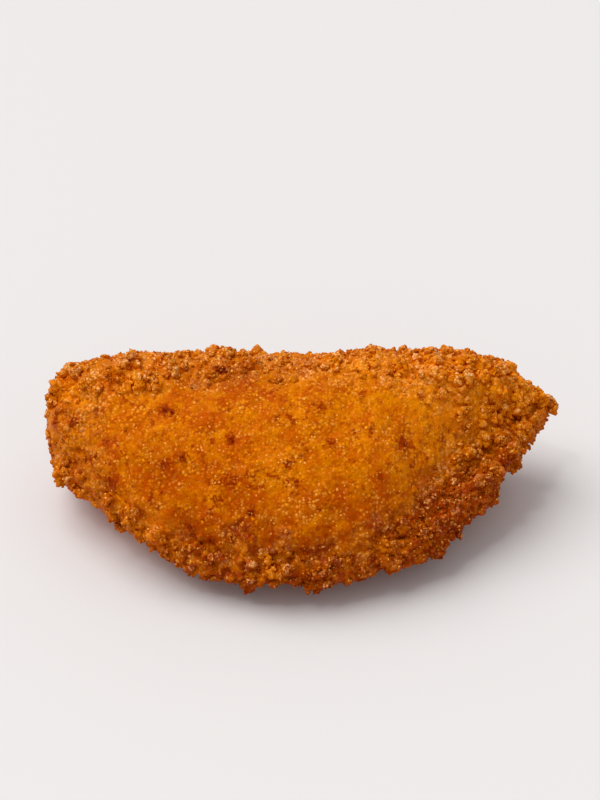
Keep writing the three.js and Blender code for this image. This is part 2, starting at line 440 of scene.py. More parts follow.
def length(name, text, default):
    """A length that the panel shows, given in millimetres."""
    return FloatProperty(name=name, description=text, default=default * MM, unit="LENGTH", subtype="DISTANCE")


def colour(name, text, *screen):
    """A colour that the panel shows, given as 0 to 255 on screen."""
    return FloatVectorProperty(
        name=name, description=text, default=linear(*screen), size=4, min=0, max=1, subtype="COLOR"
    )


class RissoleForm(bpy.types.PropertyGroup):
    """Sizes of the folded dough under its crumbs."""

    half_length: length("Half length", "Half of the length along the fold", 49.2)
    depth: length("Depth", "From the foremost point of the rim to the back of the fold", 47.8)
    crown: length("Top height", "Height of the back above the table", 31)
    belly_sag: length("Belly sag", "How far the belly would reach below the table", 1.1)
    rim_thickness: length("Rim thickness", "Thickness of the sealed edge", 7.4)
    rim_lift: length("Rim lift", "Underside of the rim above the table", 3.8)
    rim_climb: length("Rim climb", "How much higher the rim lies at either end", 10)
    flange: length("Flange", "Width of the flat of the rim", 2)


class RissoleCrust(bpy.types.PropertyGroup):
    """Relief of the crust."""

    lumps: length("Lumps", "Height of the low lumps of the dough", 0.9)
    crags: length("Crags", "Height of the crags on rim, fold and ends", 0.85)
    grain: length("Grain", "Width of the packed fine crumbs", 1.2)
    grain_height: length("Grain height", "How far the fine crumbs stand up", 0.38)
    sink: length("Sink", "How far the skin under the crumbs lies inside the form", 0.75)
    stations: IntProperty(name="Stations", description="Points along the length", default=324, min=40)
    around: IntProperty(name="Around", description="Points round a section", default=296, min=40)


class RissoleCrumbs(bpy.types.PropertyGroup):
    """Sizes and numbers of the crumbs that stand on the crust."""

    coarse_radius: length("Coarse radius", "Middle radius of the coarse crumbs", 0.95)
    coarse_count: IntProperty(name="Coarse crumbs", description="How many", default=600, min=1)
    small_radius: length("Small radius", "Middle radius of the small crumbs", 0.58)
    small_count: IntProperty(name="Small crumbs", description="How many", default=2450, min=1)
    fine_radius: length("Fine radius", "Middle radius of the fine crumbs", 0.36)
    fine_count: IntProperty(name="Fine crumbs", description="How many", default=9800, min=1)
    grit_radius: length("Grit radius", "Middle radius of the grit", 0.22)
    grit_count: IntProperty(name="Grit", description="How many", default=9800, min=1)
    seed: IntProperty(name="Seed", description="Start of every random draw", default=7)


class RissoleColours(bpy.types.PropertyGroup):
    """Colours of the fried crust, with those of its painted shade, highlights and glints."""

    golden: colour("Golden", "The bright belly", 214, 121, 0)
    orange: colour("Orange", "The darker patches of the belly", 189, 80, 0)
    # Rust, which is also the colour of the painted shade in gaps and low at the front.
    rust: colour("Rust", "Small browner flecks", 148, 47, 0)
    # Painted shade: the colour painted between crumbs and on undersides.
    crevice: colour("Crevice", "Between the crumbs", 222, 77, 0)
    fleck: colour("Fleck", "Light grains of the belly", 252, 150, 14)
    # Painted highlight on the crumbs' open, upward tips.
    tip_highlight: colour("Tip", "Dry tips of the crumbs", 255, 189, 122)
    scorched: colour("Scorched", "Spots that caught in the oil", 101, 17, 0)
    # Painted glint of oil, whose colour the lightest flecks also take.
    painted_glint: colour("Spark", "Specks of light crumb that shine", 255, 182, 78)
    gloss: colour("Gloss", "Tint of the oil's gloss", 255, 176, 64)


class RissoleStudio(bpy.types.PropertyGroup):
    """The floor, the light and the camera."""

    floor: colour("Floor", "The pale floor", 215, 212, 211)
    key: FloatProperty(name="Key light", description="Strength of the large soft light", default=2.2, min=0)
    softness: FloatProperty(
        name="Softness", description="Width of the key light", default=math.radians(55), subtype="ANGLE"
    )
    glint: FloatProperty(name="Glint light", description="Strength of the small light", default=0.19, min=0)
    ambient: FloatProperty(name="Ambient", description="Light from all round", default=0.605, min=0)
    lens: FloatProperty(name="Lens", description="Focal length in millimetres", default=100, min=1)
    distance: length("Distance", "From the camera to the rissole", 425)
    elevation: FloatProperty(
        name="Elevation", description="Camera above the table", default=math.radians(40), subtype="ANGLE"
    )


def mix(a, b, t):
    """a where t is 0 and b where it is 1."""
    return a + (b - a) * t


def rise(t, start, full):
    """A soft step from 0 at start to 1 at full."""
    t = np.clip((t - start) / (full - start), 0, 1)
    return t * t * (3 - 2 * t)


def section(form, q):
    """The sizes of the cross-sections at q, which runs from -1 at the blunt end to 1 at the pointed one."""
    reach = np.abs(q)
    end = {name: np.where(q > 0, POINTED[name], BLUNT[name]) for name in POINTED}
    full = (1 - reach ** end["fullness"]) ** THIN_POWER
    rim_rest = form.rim_lift + form.rim_thickness / 2 + form.rim_climb * reach**CLIMB_POWER
    front = end["draw_back"] * reach**DRAW_BACK_POWER
    back = form.depth - end["fold_forward"] * reach**FOLD_POWER
    flange = form.flange + end["flange_gain"] * reach**FLANGE_POWER
    middle, half = end["middle"], end["thickness"] / 2
    return dict(
        front=front,
        back=back,
        flange=np.minimum(WIDEST_FLANGE, flange / (back - front)),
        rim_middle=mix(rim_rest, middle, reach**RIM_TO_END_POWER),
        fold_middle=mix(form.crown / 2, middle, reach**FOLD_TO_END_POWER),
        rim_half=mix(form.rim_thickness / 2, half, reach**RIM_THIN_POWER),
        top=mix(middle + half, form.crown, full),
        bottom=mix(middle - half, -form.belly_sag, full),
        hollow=np.where(q > 0, rise(q, *POINTED_HOLLOW), BLUNT_HOLLOW_SHARE * rise(-q, *BLUNT_HOLLOW)),
        nose=end["nose"],
    )


def body(form, q, turn):
    """Points of the smooth body. turn runs from 0 at the rim's edge over the crown to pi at the fold and on
    under the belly."""
    s = section(form, q)
    share = (1 - np.cos(turn)) / 2
    past_crest = np.maximum(0, share - CREST) / (1 - CREST)
    fold_round = np.sqrt(np.maximum(0, 1 - past_crest**2))
    rim_round = np.sqrt(1 - (1 - np.minimum(1, share / RIM_ROUND)) ** 2)
    above = turn <= math.pi
    climb = np.clip((share - s["flange"]) / (CREST - s["flange"]), 0, 1)
    full_arc = (1 - (1 - climb) ** BELLY_ARC) ** (1 / BELLY_ARC)
    hollow = np.where(above, s["hollow"], 1)
    swell = mix(full_arc, climb * climb * (3 - 2 * climb), hollow) * fold_round
    crest_middle = mix(s["rim_middle"], s["fold_middle"], CREST)
    reach = np.where(above, s["top"] - crest_middle, crest_middle - s["bottom"])
    offset = s["rim_half"] * rim_round * fold_round + np.maximum(0, reach - s["rim_half"]) * swell
    height = mix(s["rim_middle"], s["fold_middle"], share) + np.where(above, offset, -offset)
    x = q * form.half_length
    points = np.stack([x, mix(s["front"], s["back"], share), height], -1)
    centre = np.stack([x, (s["front"] + s["back"]) / 2, (s["top"] + s["bottom"]) / 2], -1)
    into_nose = np.clip(1 - (1 - np.abs(q)) * form.half_length / s["nose"], 0, 1)
    shrink = np.sqrt(np.maximum(0, 1 - into_nose**2))[..., None]
    return mix(centre, points, shrink)


def even_turns(form, count):
    """Turns that lie evenly along the middle section's edge."""
    fine = np.linspace(0, 2 * math.pi, TURN_STEPS)
    points = body(form, np.zeros_like(fine), fine)
    steps = np.linalg.norm(np.diff(points, axis=0), axis=1)
    along = np.concatenate([[0], np.cumsum(steps)])
    return np.interp(np.arange(count) / count * along[-1], along, fine)


def crumbiness(q, turn):
    """How thickly crumbs gather, from 0 to 1."""
    share = (1 - np.cos(turn)) / 2
    gain = np.where(q > 0, RIM_BAND_POINTED, RIM_BAND_BLUNT)
    band = RIM_BAND + gain * np.abs(q) ** RIM_BAND_POWER
    near_rim = rise(share / band, *RIM_BAND_EDGE)
    near_fold = FOLD_BAND[2] * rise(share + FOLD_BAND_WIDENS * q**2, FOLD_BAND[0], FOLD_BAND[1])
    near_pointed = POINTED_BAND[2] * rise(q, POINTED_BAND[0], POINTED_BAND[1])
    near_blunt = BLUNT_BAND[2] * rise(-q, BLUNT_BAND[0], BLUNT_BAND[1])
    return np.maximum.reduce([np.full_like(q, LEAST_CRUMBS), near_rim, near_fold, near_pointed, near_blunt])


def nearness(form, points, spots, by_size=False):
    """How near each point lies to the nearest of the spots: 1 in its middle, fading to 0 past its radius. By
    size, it is the spot's radius in millimetres in its middle."""
    near = np.zeros(len(points))
    for along, turn, radius in spots:
        middle = body(form, np.array([along]), np.array([turn]))[0] + FORM_SHIFT
        distance = np.linalg.norm(points - middle, axis=1)
        most = radius if by_size else 1
        near = np.maximum(near, most * np.exp(-((distance / (radius * MM)) ** 2)))
    return near


def bumps(points, size):
    """Smooth noise from -1 to 1 at each point, with bumps about size wide."""
    return np.array([noise.noise(p) for p in (points / size).tolist()])


def grains(points, size):
    """Packed grains about size wide: how high each point lies on its grain, and a number for each grain."""
    nearest = [noise.voronoi(p) for p in (points / size).tolist()]
    near = np.array([distances[:2] for distances, _ in nearest])
    centres = np.array([corners[0] for _, corners in nearest])
    dome = np.clip(1 - GRAIN_FALL * near[:, 0] ** 2, 0, 1) * rise(near[:, 1] - near[:, 0], 0, GRAIN_GAP)
    mark = np.modf(np.abs(np.sin(centres @ np.array(MARK_MIX)) * MARK_SPREAD))[0]
    return dome, mark


def add_attribute(mesh, name, values):
    """Keeps one number for each point of a mesh."""
    layer = mesh.attributes.new(name, "FLOAT", "POINT")
    layer.data.foreach_set("value", values.astype(np.float32).ravel())


def make_mesh(name, points, faces, corners_uv=None, **attributes):
    """A smooth mesh piece from arrays of points and of triangles or quads, with one number for each point in
    each named attribute."""
    mesh = bpy.data.meshes.new(name)
    mesh.vertices.add(len(points))
    mesh.vertices.foreach_set("co", points.astype(np.float32).ravel())
    sides = faces.shape[1]
    mesh.loops.add(faces.size)
    mesh.loops.foreach_set("vertex_index", faces.astype(np.int32).ravel())
    mesh.polygons.add(len(faces))
    mesh.polygons.foreach_set("loop_start", np.arange(0, faces.size, sides, dtype=np.int32))
    mesh.polygons.foreach_set("use_smooth", np.ones(len(faces), dtype=bool))
    for key, values in attributes.items():
        add_attribute(mesh, key, values)
    if corners_uv is not None:
        layer = mesh.uv_layers.new(name=BAKE_MAP)
        layer.data.foreach_set("uv", corners_uv.astype(np.float32).ravel())
    mesh.update(calc_edges=True)
    mesh.validate()
    piece = bpy.data.objects.new(name, mesh)
    bpy.context.scene.collection.objects.link(piece)
    return piece


def face_cross(points, faces):
    """The outward normal of each triangle, twice as long as its area."""
    first, second, third = (points[faces[:, corner]] for corner in range(3))
    return np.cross(second - first, third - first)


def unit(vectors):
    return vectors / np.maximum(np.linalg.norm(vectors, axis=-1, keepdims=True), 1e-12)


def point_normals(points, faces):
    """The normal at each point, from the triangles round it."""
    cross = face_cross(points, faces)
    normals = np.zeros_like(points)
    for corner in range(3):
        np.add.at(normals, faces[:, corner], cross)
    return unit(normals)


def read_mesh(piece):
    """The points and triangles of a piece."""
    mesh = piece.data
    points = np.empty(3 * len(mesh.vertices), np.float32)
    faces = np.empty(len(mesh.loops), np.int32)
    mesh.vertices.foreach_get("co", points)
    mesh.loops.foreach_get("vertex_index", faces)
    return points.reshape(-1, 3).astype(float), faces.reshape(-1, 3)


def read_attribute(piece, name):
    values = np.empty(len(piece.data.vertices), np.float32)
    piece.data.attributes[name].data.foreach_get("value", values)
    return values


def crust_faces(rings, around):
    """Triangles that join the rings of points to each other and to a pole at either end."""
    ring = np.arange(rings * around).reshape(rings, around)
    after = np.roll(ring, -1, axis=1)
    blunt_pole, pointed_pole = rings * around, rings * around + 1
    near, far, near_after, far_after = ring[:-1], ring[1:], after[:-1], after[1:]
    straight = np.indices(near.shape).sum(0) % 2 == 0
    first = np.stack([near, far, np.where(straight, far_after, near_after)], -1).reshape(-1, 3)
    second = np.stack([np.where(straight, near, far), far_after, near_after], -1).reshape(-1, 3)
    blunt = np.stack([np.full(around, blunt_pole), ring[0], after[0]], -1)
    pointed = np.stack([ring[-1], np.full(around, pointed_pole), after[-1]], -1)
    return np.concatenate([first, second, blunt, pointed])


def crust_corners_uv(faces, q, turn):
    """The bake map: along the length, and round the section with its seam beneath the rim."""
    across = turn[faces] / (2 * math.pi)
    at_seam = (across.max(1) - across.min(1)) > 0.5
    across = np.where(at_seam[:, None] & (across < 0.5), across + 1, across)
    pole = faces >= faces.max() - 1
    others = np.where(pole, 0, across).sum(1) / (~pole).sum(1)
    across = np.where(pole, others[:, None], across)
    return np.stack([(q[faces] + 1) / 2, np.clip(across, 0, 1)], -1).reshape(-1, 2)


def crust_relief(points, zone, crust):
    """How far each point stands off the smooth form, in metres, and a number for each packed grain."""
    in_mm = points / MM
    crag_share = mix(LEAST_CRAG, 1, zone)
    fine, mark = grains(in_mm, crust.grain / MM)
    knobs, _ = grains(in_mm + KNOB_SHIFT, KNOB_SIZE)
    relief = crust.lumps * bumps(in_mm, LUMP_SIZES[0])
    relief += SMALL_LUMPS * crust.lumps * bumps(in_mm, LUMP_SIZES[1])
    relief += crag_share * crust.crags * bumps(in_mm, CRAG_SIZES[0])
    relief += crag_share * SMALL_CRAGS * crust.crags * bumps(in_mm, CRAG_SIZES[1])
    relief += mix(LEAST_GRAIN, 1, zone) * crust.grain_height * (fine + FINE_SHARE * bumps(in_mm, FINE_SIZE))
    relief += zone * (KNOB_HEIGHT * MM * knobs - crust.sink)
    return relief, mark


def make_crust(form, crust):
    """The crumbed dough as one closed skin over the form."""
    even = np.linspace(-1, 1, crust.stations + 2)[1:-1]
    stations = mix(even, np.sin(even * math.pi / 2), END_CROWDING)
    q, turn = (grid.ravel() for grid in np.meshgrid(stations, even_turns(form, crust.around), indexing="ij"))
    q = np.append(q, [-1, 1])
    turn = np.append(turn, [0, 0])
    faces = crust_faces(crust.stations, crust.around)
    smooth = body(form, q, turn)
    wander = [share * bumps(smooth / MM, size) for share, size in zip(BAND_WANDER, BAND_WANDER_SIZES)]
    clumped = CLUMP_ZONE * nearness(form, smooth + FORM_SHIFT, CLUMPS)
    zone = np.maximum(crumbiness(q + wander[0], turn + wander[1]), clumped)
    zone *= 1 - nearness(form, smooth + FORM_SHIFT, BARE_PATCHES)
    relief, mark = crust_relief(smooth, zone, crust)
    relief += CLUMP_HEIGHT * MM * nearness(form, smooth + FORM_SHIFT, CLUMPS, by_size=True)
    fade = rise(1 - np.abs(q), 0, END_FADE)
    points = smooth + point_normals(smooth, faces) * (relief * fade)[:, None]
    points[:, 2] = np.maximum(points[:, 2], 0)
    corners = crust_corners_uv(faces, q, turn)
    knob = np.ones_like(zone)
    return make_mesh("crust", points + FORM_SHIFT, faces, corners, zone=zone, tone=mark, knob=knob)


def ball(level):
    """Points and triangles of a ball of radius 1, with 20 faces at level 1, 80 at 2 and 320 at 3."""
    made = bmesh.new()
    bmesh.ops.create_icosphere(made, subdivisions=level, radius=1)
    made.verts.index_update()
    points = np.array([corner.co[:] for corner in made.verts])
    faces = np.array([[corner.index for corner in face.verts] for face in made.faces])
    made.free()
    return points, faces


def even_directions(count, rng):
    """Directions spread over a ball, each moved a little."""
    order = np.arange(count)
    height = 1 - (2 * order + 1) / count
    round_it = order * math.pi * (3 - math.sqrt(5))
    width = np.sqrt(1 - height**2)
    even = np.stack([width * np.cos(round_it), width * np.sin(round_it), height], -1)
    return unit(even + rng.normal(0, KNOB_DRIFT, even.shape))


def knobbly_crumbs(points, knobs, rng):
    """A few crumbs about 1 in radius, each a cluster of round knobs about a core, jagged and unevenly
    stretched, and how far out each point lies in its crumb, from 0 to 1."""
    shapes, heights = [], []
    for _ in range(SHAPES):
        middles = even_directions(knobs, rng) * rng.uniform(*KNOB_OUT, (knobs, 1))
        along = points @ middles.T
        inside = rng.uniform(*KNOB_RADIUS, knobs) ** 2 - (middles**2).sum(1) + along**2
        out = np.where(inside > 0, along + np.sqrt(np.maximum(0, inside)), 0).max(1)
        out = np.maximum(out, CORE)
        heights.append((out - CORE) / (out.max() - CORE))
        out *= 1 + rng.uniform(-JAGGED, JAGGED, len(out)) * math.sqrt(FEWEST_POINTS / len(out))
        shapes.append(points * out[:, None] * rng.uniform(*STRETCH, 3))
    return np.array(shapes), np.array(heights)


def random_turns(count, rng):
    """Rotation matrices that turn each crumb its own way."""
    w, x, y, z = unit(rng.normal(size=(count, 4))).T
    rows = [
        [1 - 2 * (y * y + z * z), 2 * (x * y - z * w), 2 * (x * z + y * w)],
        [2 * (x * y + z * w), 1 - 2 * (x * x + z * z), 2 * (y * z - x * w)],
        [2 * (x * z - y * w), 2 * (y * z + x * w), 1 - 2 * (x * x + y * y)],
    ]
    return np.moveaxis(np.array(rows), -1, 0)


def crumb_corners_uv(points, faces, count):
    """The bake map of count crumbs: a cell for each, with its upper and lower faces side by side."""
    columns = math.ceil(math.sqrt(count / 2))
    rows = math.ceil(count / columns)
    lower = points[faces].mean(1)[:, 2] < 0
    disc = points[faces][..., :2] * CELL_FILL / 2 + 0.5
    disc[..., 0] = (disc[..., 0] + lower[:, None]) / 2
    cells = np.stack([np.arange(count) % columns, np.arange(count) // columns], -1)
    return ((cells[:, None, None] + disc) / (columns, rows)).reshape(-1, 2)


def scatter(pieces, count, density, rng):
    """Places on the pieces, chosen by area and by the density at each: points, normals and zones."""
    middles, normals, zones = [], [], []
    for piece in pieces:
        points, faces = read_mesh(piece)
        chance = rng.dirichlet((1, 1, 1), len(faces))
        middles.append((points[faces] * chance[..., None]).sum(1))
        normals.append(face_cross(points, faces))
        zones.append(read_attribute(piece, "zone")[faces].mean(1))
    middles, normals, zones = map(np.concatenate, (middles, normals, zones))
    weight = np.linalg.norm(normals, axis=1) * density(zones, middles)
    weight *= middles[:, 2] > LEAST_CRUMB_HEIGHT * MM
    chosen = rng.choice(len(weight), count, replace=False, p=weight / weight.sum())
    return middles[chosen], unit(normals[chosen]), zones[chosen]


def make_crumbs(name, places, radius, level, knobs, rng):
    """One mesh of crumbs of about one radius, partly sunk at the places."""
    middles, normals, zones = places
    radii = radius * rng.lognormal(0, SIZE_SPREAD, len(middles)) * mix(ZONE_SIZES[0], ZONE_SIZES[1], zones)
    stand = rng.uniform(*STAND_OFF, len(radii)) - SUNK_ON_BELLY * (1 - rise(zones, 0, BELLY_ZONE))
    middles = middles + normals * (radii * stand)[:, None]
    clear = middles[:, 2] > TABLE_CLEARANCE * radii
    middles, radii, zones = middles[clear], radii[clear], zones[clear]
    count = len(radii)
    points, faces = ball(level)
    shapes, heights = knobbly_crumbs(points, knobs, rng)
    kind = rng.integers(0, SHAPES, count)
    turned = np.einsum("cij,cpj->cpi", random_turns(count, rng), shapes[kind])
    placed = middles[:, None] + radii[:, None, None] * turned
    placed[..., 2] = np.maximum(placed[..., 2], 0)
    placed = placed.reshape(-1, 3)
    all_faces = (faces + len(points) * np.arange(count)[:, None, None]).reshape(-1, 3)
    corners = crumb_corners_uv(points, faces, count)
    tone = np.repeat(rng.uniform(0, 1, count), len(points))
    zone = np.repeat(zones, len(points))
    knob = heights[kind].ravel()
    return make_mesh(name, placed, all_faces, corners, zone=zone, tone=tone, knob=knob)


class Crowding:
    """How much surface of all the pieces lies round any place, kept in a grid of small cells."""

    def __init__(self, pieces, cell):
        middles, areas = [], []
        for piece in pieces:
            points, faces = read_mesh(piece)
            middles.append(points[faces].mean(1))
            areas.append(np.linalg.norm(face_cross(points, faces), axis=1) / 2)
        middles = np.concatenate(middles)
        self.cell = cell
        self.corner = middles.min(0) - LOW_MARGIN * cell
        shape = tuple(((middles.max(0) - self.corner) / cell).astype(int) + LOW_MARGIN + HIGH_MARGIN)
        cells = np.ravel_multi_index(tuple(((middles - self.corner) / cell).astype(int).T), shape)
        amount = np.bincount(cells, np.concatenate(areas) / cell**2, math.prod(shape)).reshape(shape)
        for axis in range(3):
            amount = (np.roll(amount, 1, axis) + 2 * amount + np.roll(amount, -1, axis)) / 4
        self.amount = amount

    def at(self, places):
        """The surface round each place, from the eight cells about it."""
        inside = (places - self.corner) / self.cell - 0.5
        low = np.floor(inside).astype(int)
        part = inside - low
        total = np.zeros(len(places))
        for step in np.ndindex(2, 2, 2):
            weight = np.prod(np.where(step, part, 1 - part), axis=1)
            total += weight * self.amount[tuple((low + step).T)]
        return total


def unevenness(form, points):
    """How much browner each point is, partly from the frying and partly as painted light and shade, from 1
    down to -1 where it is palest.
    """
    total = sum(amount * nearness(form, points, [(*spot, size)]) for *spot, size, amount in UNEVEN)
    return np.clip(total, -1, 1)


def mark_shade_and_browning(form, pieces):
    """Marks how open each point lies, from 0 deep between crumbs to 1 on a free tip, which sets the painted
    shade and painted highlights, how brown its patch is, and how far it lies in a browned or scorched spot."""
    crowding = Crowding(pieces, CROWD_CELL * MM)
    for piece in pieces:
        points, faces = read_mesh(piece)
        outside = points + point_normals(points, faces) * CROWD_REACH * MM
        outside = np.clip(outside, crowding.corner + HIGH_MARGIN * crowding.cell, None)
        free = 1 - rise(crowding.at(outside), *CROWD_RANGE)
        # Lower on a knob counts as less open, which deepens the painted shade at the knobs' feet.
        add_attribute(piece.data, "open", free * mix(KNOB_FOOT, 1, read_attribute(piece, "knob")))
        add_attribute(piece.data, "cooked_and_lit", unevenness(form, points))
        browned = BROWNED_SHARE * nearness(form, points, BROWNED_SPOTS)
        add_attribute(piece.data, "toast", np.maximum(browned, nearness(form, points, SCORCHED_SPOTS)))


class Nodes:
    """Adds shader nodes to a new material, one call for each."""

    def __init__(self, name):
        self.material = bpy.data.materials.new(name)
        self.material.use_nodes = True
        self.tree = self.material.node_tree
        self.tree.nodes.clear()

    def add(self, kind, settings=None, **inputs):
        """A node with its settings, and its inputs by name, or by number as i0, i1 and so on."""
        node = self.tree.nodes.new("ShaderNode" + kind)
        for key, value in (settings or {}).items():
            setattr(node, key, value)
        for key, value in inputs.items():
            numbered = key[0] == "i" and key[1:].isdigit()
            socket = node.inputs[int(key[1:]) if numbered else key.replace("_", " ")]
            if isinstance(value, bpy.types.NodeSocket):
                self.tree.links.new(value, socket)
            else:
                socket.default_value = value
        return node

    def attribute(self, name):
        return self.add("Attribute", {"attribute_name": name}).outputs["Fac"]

    def place(self):
        return self.add("TexCoord").outputs["Object"]

    def red(self, colour_of):
        """The red part of a colour, as a number."""
        return self.add("SeparateColor", Color=colour_of).outputs[0]

    def noise(self, size, detail=2.0, roughness=0.5):
        """Noise with bumps about size wide."""
        node = self.add("TexNoise", Vector=self.place(), Scale=1 / size, Detail=detail, Roughness=roughness)
        return node.outputs["Fac"]

    def clouds(self, width, detail, roughness):
        """Noise with bumps of a width in millimetres."""
        return self.noise(width * MM, detail, roughness)

    def spread(self, value, low, high, to_low=0.0, to_high=1.0):
        """value, from low to high, spread over to_low to to_high and held there."""
        return self.add("MapRange", i0=value, i1=low, i2=high, i3=to_low, i4=to_high).outputs[0]

    def blend(self, amount, first, second):
        """A colour between first and second."""
        node = self.add("Mix", {"data_type": "RGBA", "clamp_factor": True}, i0=amount, i6=first, i7=second)
        return node.outputs[2]

    def combine(self, operation, first, *others):
        """The values combined one after another."""
        for other in others:
            first = self.add("Math", {"operation": operation}, i0=first, i1=other).outputs[0]
        return first

    def finish(self, shader):
        """Gives the material its shader."""
        output = self.add("OutputMaterial")
        self.tree.links.new(shader.outputs[0], output.inputs[0])


class FriedCrust(Nodes):
    """The fried crust's material, one function for each layer from the dough outwards. grain is the width of
    its fine grains in millimetres."""

    def __init__(self, name, colours, grain):
        super().__init__(name)
        self.colours = {key: getattr(colours, key)[:] for key in RissoleColours.__annotations__}
        marks = ("zone", "open", "tone", "toast", "cooked_and_lit")
        self.zone, self.free, self.tone, self.toast, self.cooked_and_lit = map(self.attribute, marks)
        drift = self.add("TexNoise", Vector=self.place(), Scale=1 / (GRAIN_DRIFT * grain * MM))
        drifted = dict(i0=drift.outputs["Color"], i1=(grain * MM,) * 3, i2=self.place())
        self.warped = self.add("VectorMath", {"operation": "MULTIPLY_ADD"}, **drifted).outputs[0]
        cells = self.add("TexVoronoi", Vector=self.warped, Scale=1 / (grain * MM))
        grainy = self.spread(self.clouds(*GRAIN_CLOUDS), *GRAIN_CLOUD_RANGE)
        self.lace = self.spread(self.clouds(*LACE_CLOUDS), *LACE_RANGE)
        self.dome = self.times(self.spread(cells.outputs["Distance"], *GRAIN_DOME_RANGE), grainy)
        self.gap = self.times(self.spread(cells.outputs["Distance"], *GRAIN_GAP_RANGE), grainy)
        self.mark = self.red(cells.outputs["Color"])
        self.x, self.y, self.z = self.add("SeparateXYZ", Vector=self.place()).outputs
        normal = self.add("NewGeometry").outputs["Normal"]
        self.facing = self.add("SeparateXYZ", Vector=normal).outputs["Z"]
        # Facing up, which gates the painted highlights and glints and the gold in the painted shade.
        self.upper = self.spread(self.facing, *LIT_FACING)

    def times(self, *values):
        return self.combine("MULTIPLY", *values)

    def tint(self, amount, under, colour_name):
        """The colour beneath, turned by amount towards one of the panel's colours."""
        return self.blend(amount, under, self.colours[colour_name])

    def dough(self):
        """Golden to orange patches, with the palest ones, which are partly painted light."""
        patches = self.spread(self.clouds(*MOTTLE_CLOUDS), *MOTTLE_RANGE)
        by_tone, by_zone = self.spread(self.tone, *MOTTLE_BY_TONE), self.spread(self.zone, *MOTTLE_BY_ZONE)
        patches = self.combine("ADD", patches, by_tone, by_zone)
        dough = self.tint(patches, self.colours["orange"], "golden")
        return self.tint(self.spread(self.cooked_and_lit, *PALE_RANGE), dough, "fleck")

    def browning_and_shade(self):
        """How brown the crust is, most of all low at the front, where it is partly painted shade, with its
        browner and paler patches, which are partly painted light and shade.
        """
        level = self.combine("ADD", self.z, self.times(self.y, BROWN_SHADE_FRONT))
        below = self.spread(level, BROWN_SHADE_BELOW[0] * MM, BROWN_SHADE_BELOW[1] * MM)
        by_zone = self.spread(self.zone, *BROWN_SHADE_BY_ZONE)
        blunt, middle = (along * MM for along in BROWN_SHADE_LESS_AT)
        by_end = self.spread(self.x, blunt, middle, BROWN_SHADE_LEAST, 1)
        patches = self.spread(self.clouds(*BROWN_SHADE_CLOUDS), *BROWN_SHADE_CLOUD_RANGE)
        return self.combine("ADD", self.times(below, by_zone, by_end, patches), self.cooked_and_lit)

    def rusted_and_shaded(self, under, below):
        """Rust flecks, with painted shade in rust colour in the gaps between grains and where the crust is
        brown or low at the front.
        """
        flecks = self.spread(self.clouds(*RUST_CLOUDS), *RUST_RANGE)
        patches = self.spread(self.clouds(*RUST_PATCH_CLOUDS), *RUST_PATCH_RANGE)
        flecks = self.times(flecks, patches, self.spread(self.zone, *RUST_BY_ZONE))
        gap_shade = self.times(self.gap, GAP_SHADE)
        return self.tint(self.combine("MAXIMUM", flecks, gap_shade, below), under, "rust")

    def flecked(self, under):
        """Light grains."""
        light = self.tint(self.times(self.lace, LACE_SHARE), self.colours["fleck"], "painted_glint")
        return self.blend(self.times(self.dome, self.spread(self.mark, *FLECK_RANGE)), under, light)

    def highlit_tips(self, under, below, strength):
        """Painted highlight on the crumbs' tips where they lie open, face up and stand high, with a strength
        from 0 to 1.
        """
        highlight = self.spread(self.times(self.free, self.spread(self.tone, *HIGHLIGHT_BY_TONE)), *HIGHLIGHT_RANGE)
        highlight = self.times(
            self.combine("POWER", highlight, HIGHLIGHT_POWER),
            self.spread(self.zone, *HIGHLIGHT_ZONE, 0, strength),
            self.spread(self.dome, *HIGHLIGHT_BY_GRAIN),
            self.spread(below, *HIGHLIGHT_BY_BROWN),
            self.upper,
            self.spread(self.z, HIGHLIGHT_ABOVE[0] * MM, HIGHLIGHT_ABOVE[1] * MM, 1, HIGHLIGHT_AT_TOP),
        )
        return self.tint(highlight, under, "tip_highlight")

    def painted_shade(self, under, below):
        """Painted shade: redder gaps between crumbs and undersides, where shade falls."""
        deep, under_side = self.spread(self.free, *DEEP_RANGE), self.spread(self.facing, *UNDER_RANGE)
        deep = self.combine("MAXIMUM", deep, under_side)
        deep = self.times(deep, self.spread(self.zone, *DEEP_BY_ZONE))
        crevice = self.tint(self.times(below, RUST_IN_CREVICE), self.colours["crevice"], "rust")
        crevice = self.tint(self.times(self.upper, GOLD_IN_CREVICE), crevice, "golden")
        return self.blend(deep, under, crevice)

    def spotted(self, under):
        """Browned spots, with the scorched ones."""
        clouds = self.spread(self.clouds(*SPOT_CLOUDS), *SPOT_CLOUD_RANGE)
        ragged = self.combine("ADD", self.toast, clouds)
        browned = self.tint(self.spread(ragged, *SPOT_RANGE), under, "rust")
        return self.tint(self.spread(ragged, *SCORCH_RANGE), browned, "scorched")

    def painted_glints(self, under, lucky_range):
        """Painted glints: specks of oily shine painted on what faces up."""
        glint_cells = self.add("TexVoronoi", Vector=self.warped, Scale=1 / (PAINTED_GLINT_SPACING * MM))
        lucky = self.red(glint_cells.outputs["Color"])
        width = PAINTED_GLINT_RADIUS / PAINTED_GLINT_SPACING
        painted_glint = self.times(
            self.spread(glint_cells.outputs["Distance"], width, PAINTED_GLINT_CORE * width),
            self.spread(lucky, *lucky_range),
            self.spread(self.combine("MAXIMUM", self.lace, self.zone), *PAINTED_GLINT_BY_LACE),
            self.upper,
        )
        return self.tint(painted_glint, under, "painted_glint")

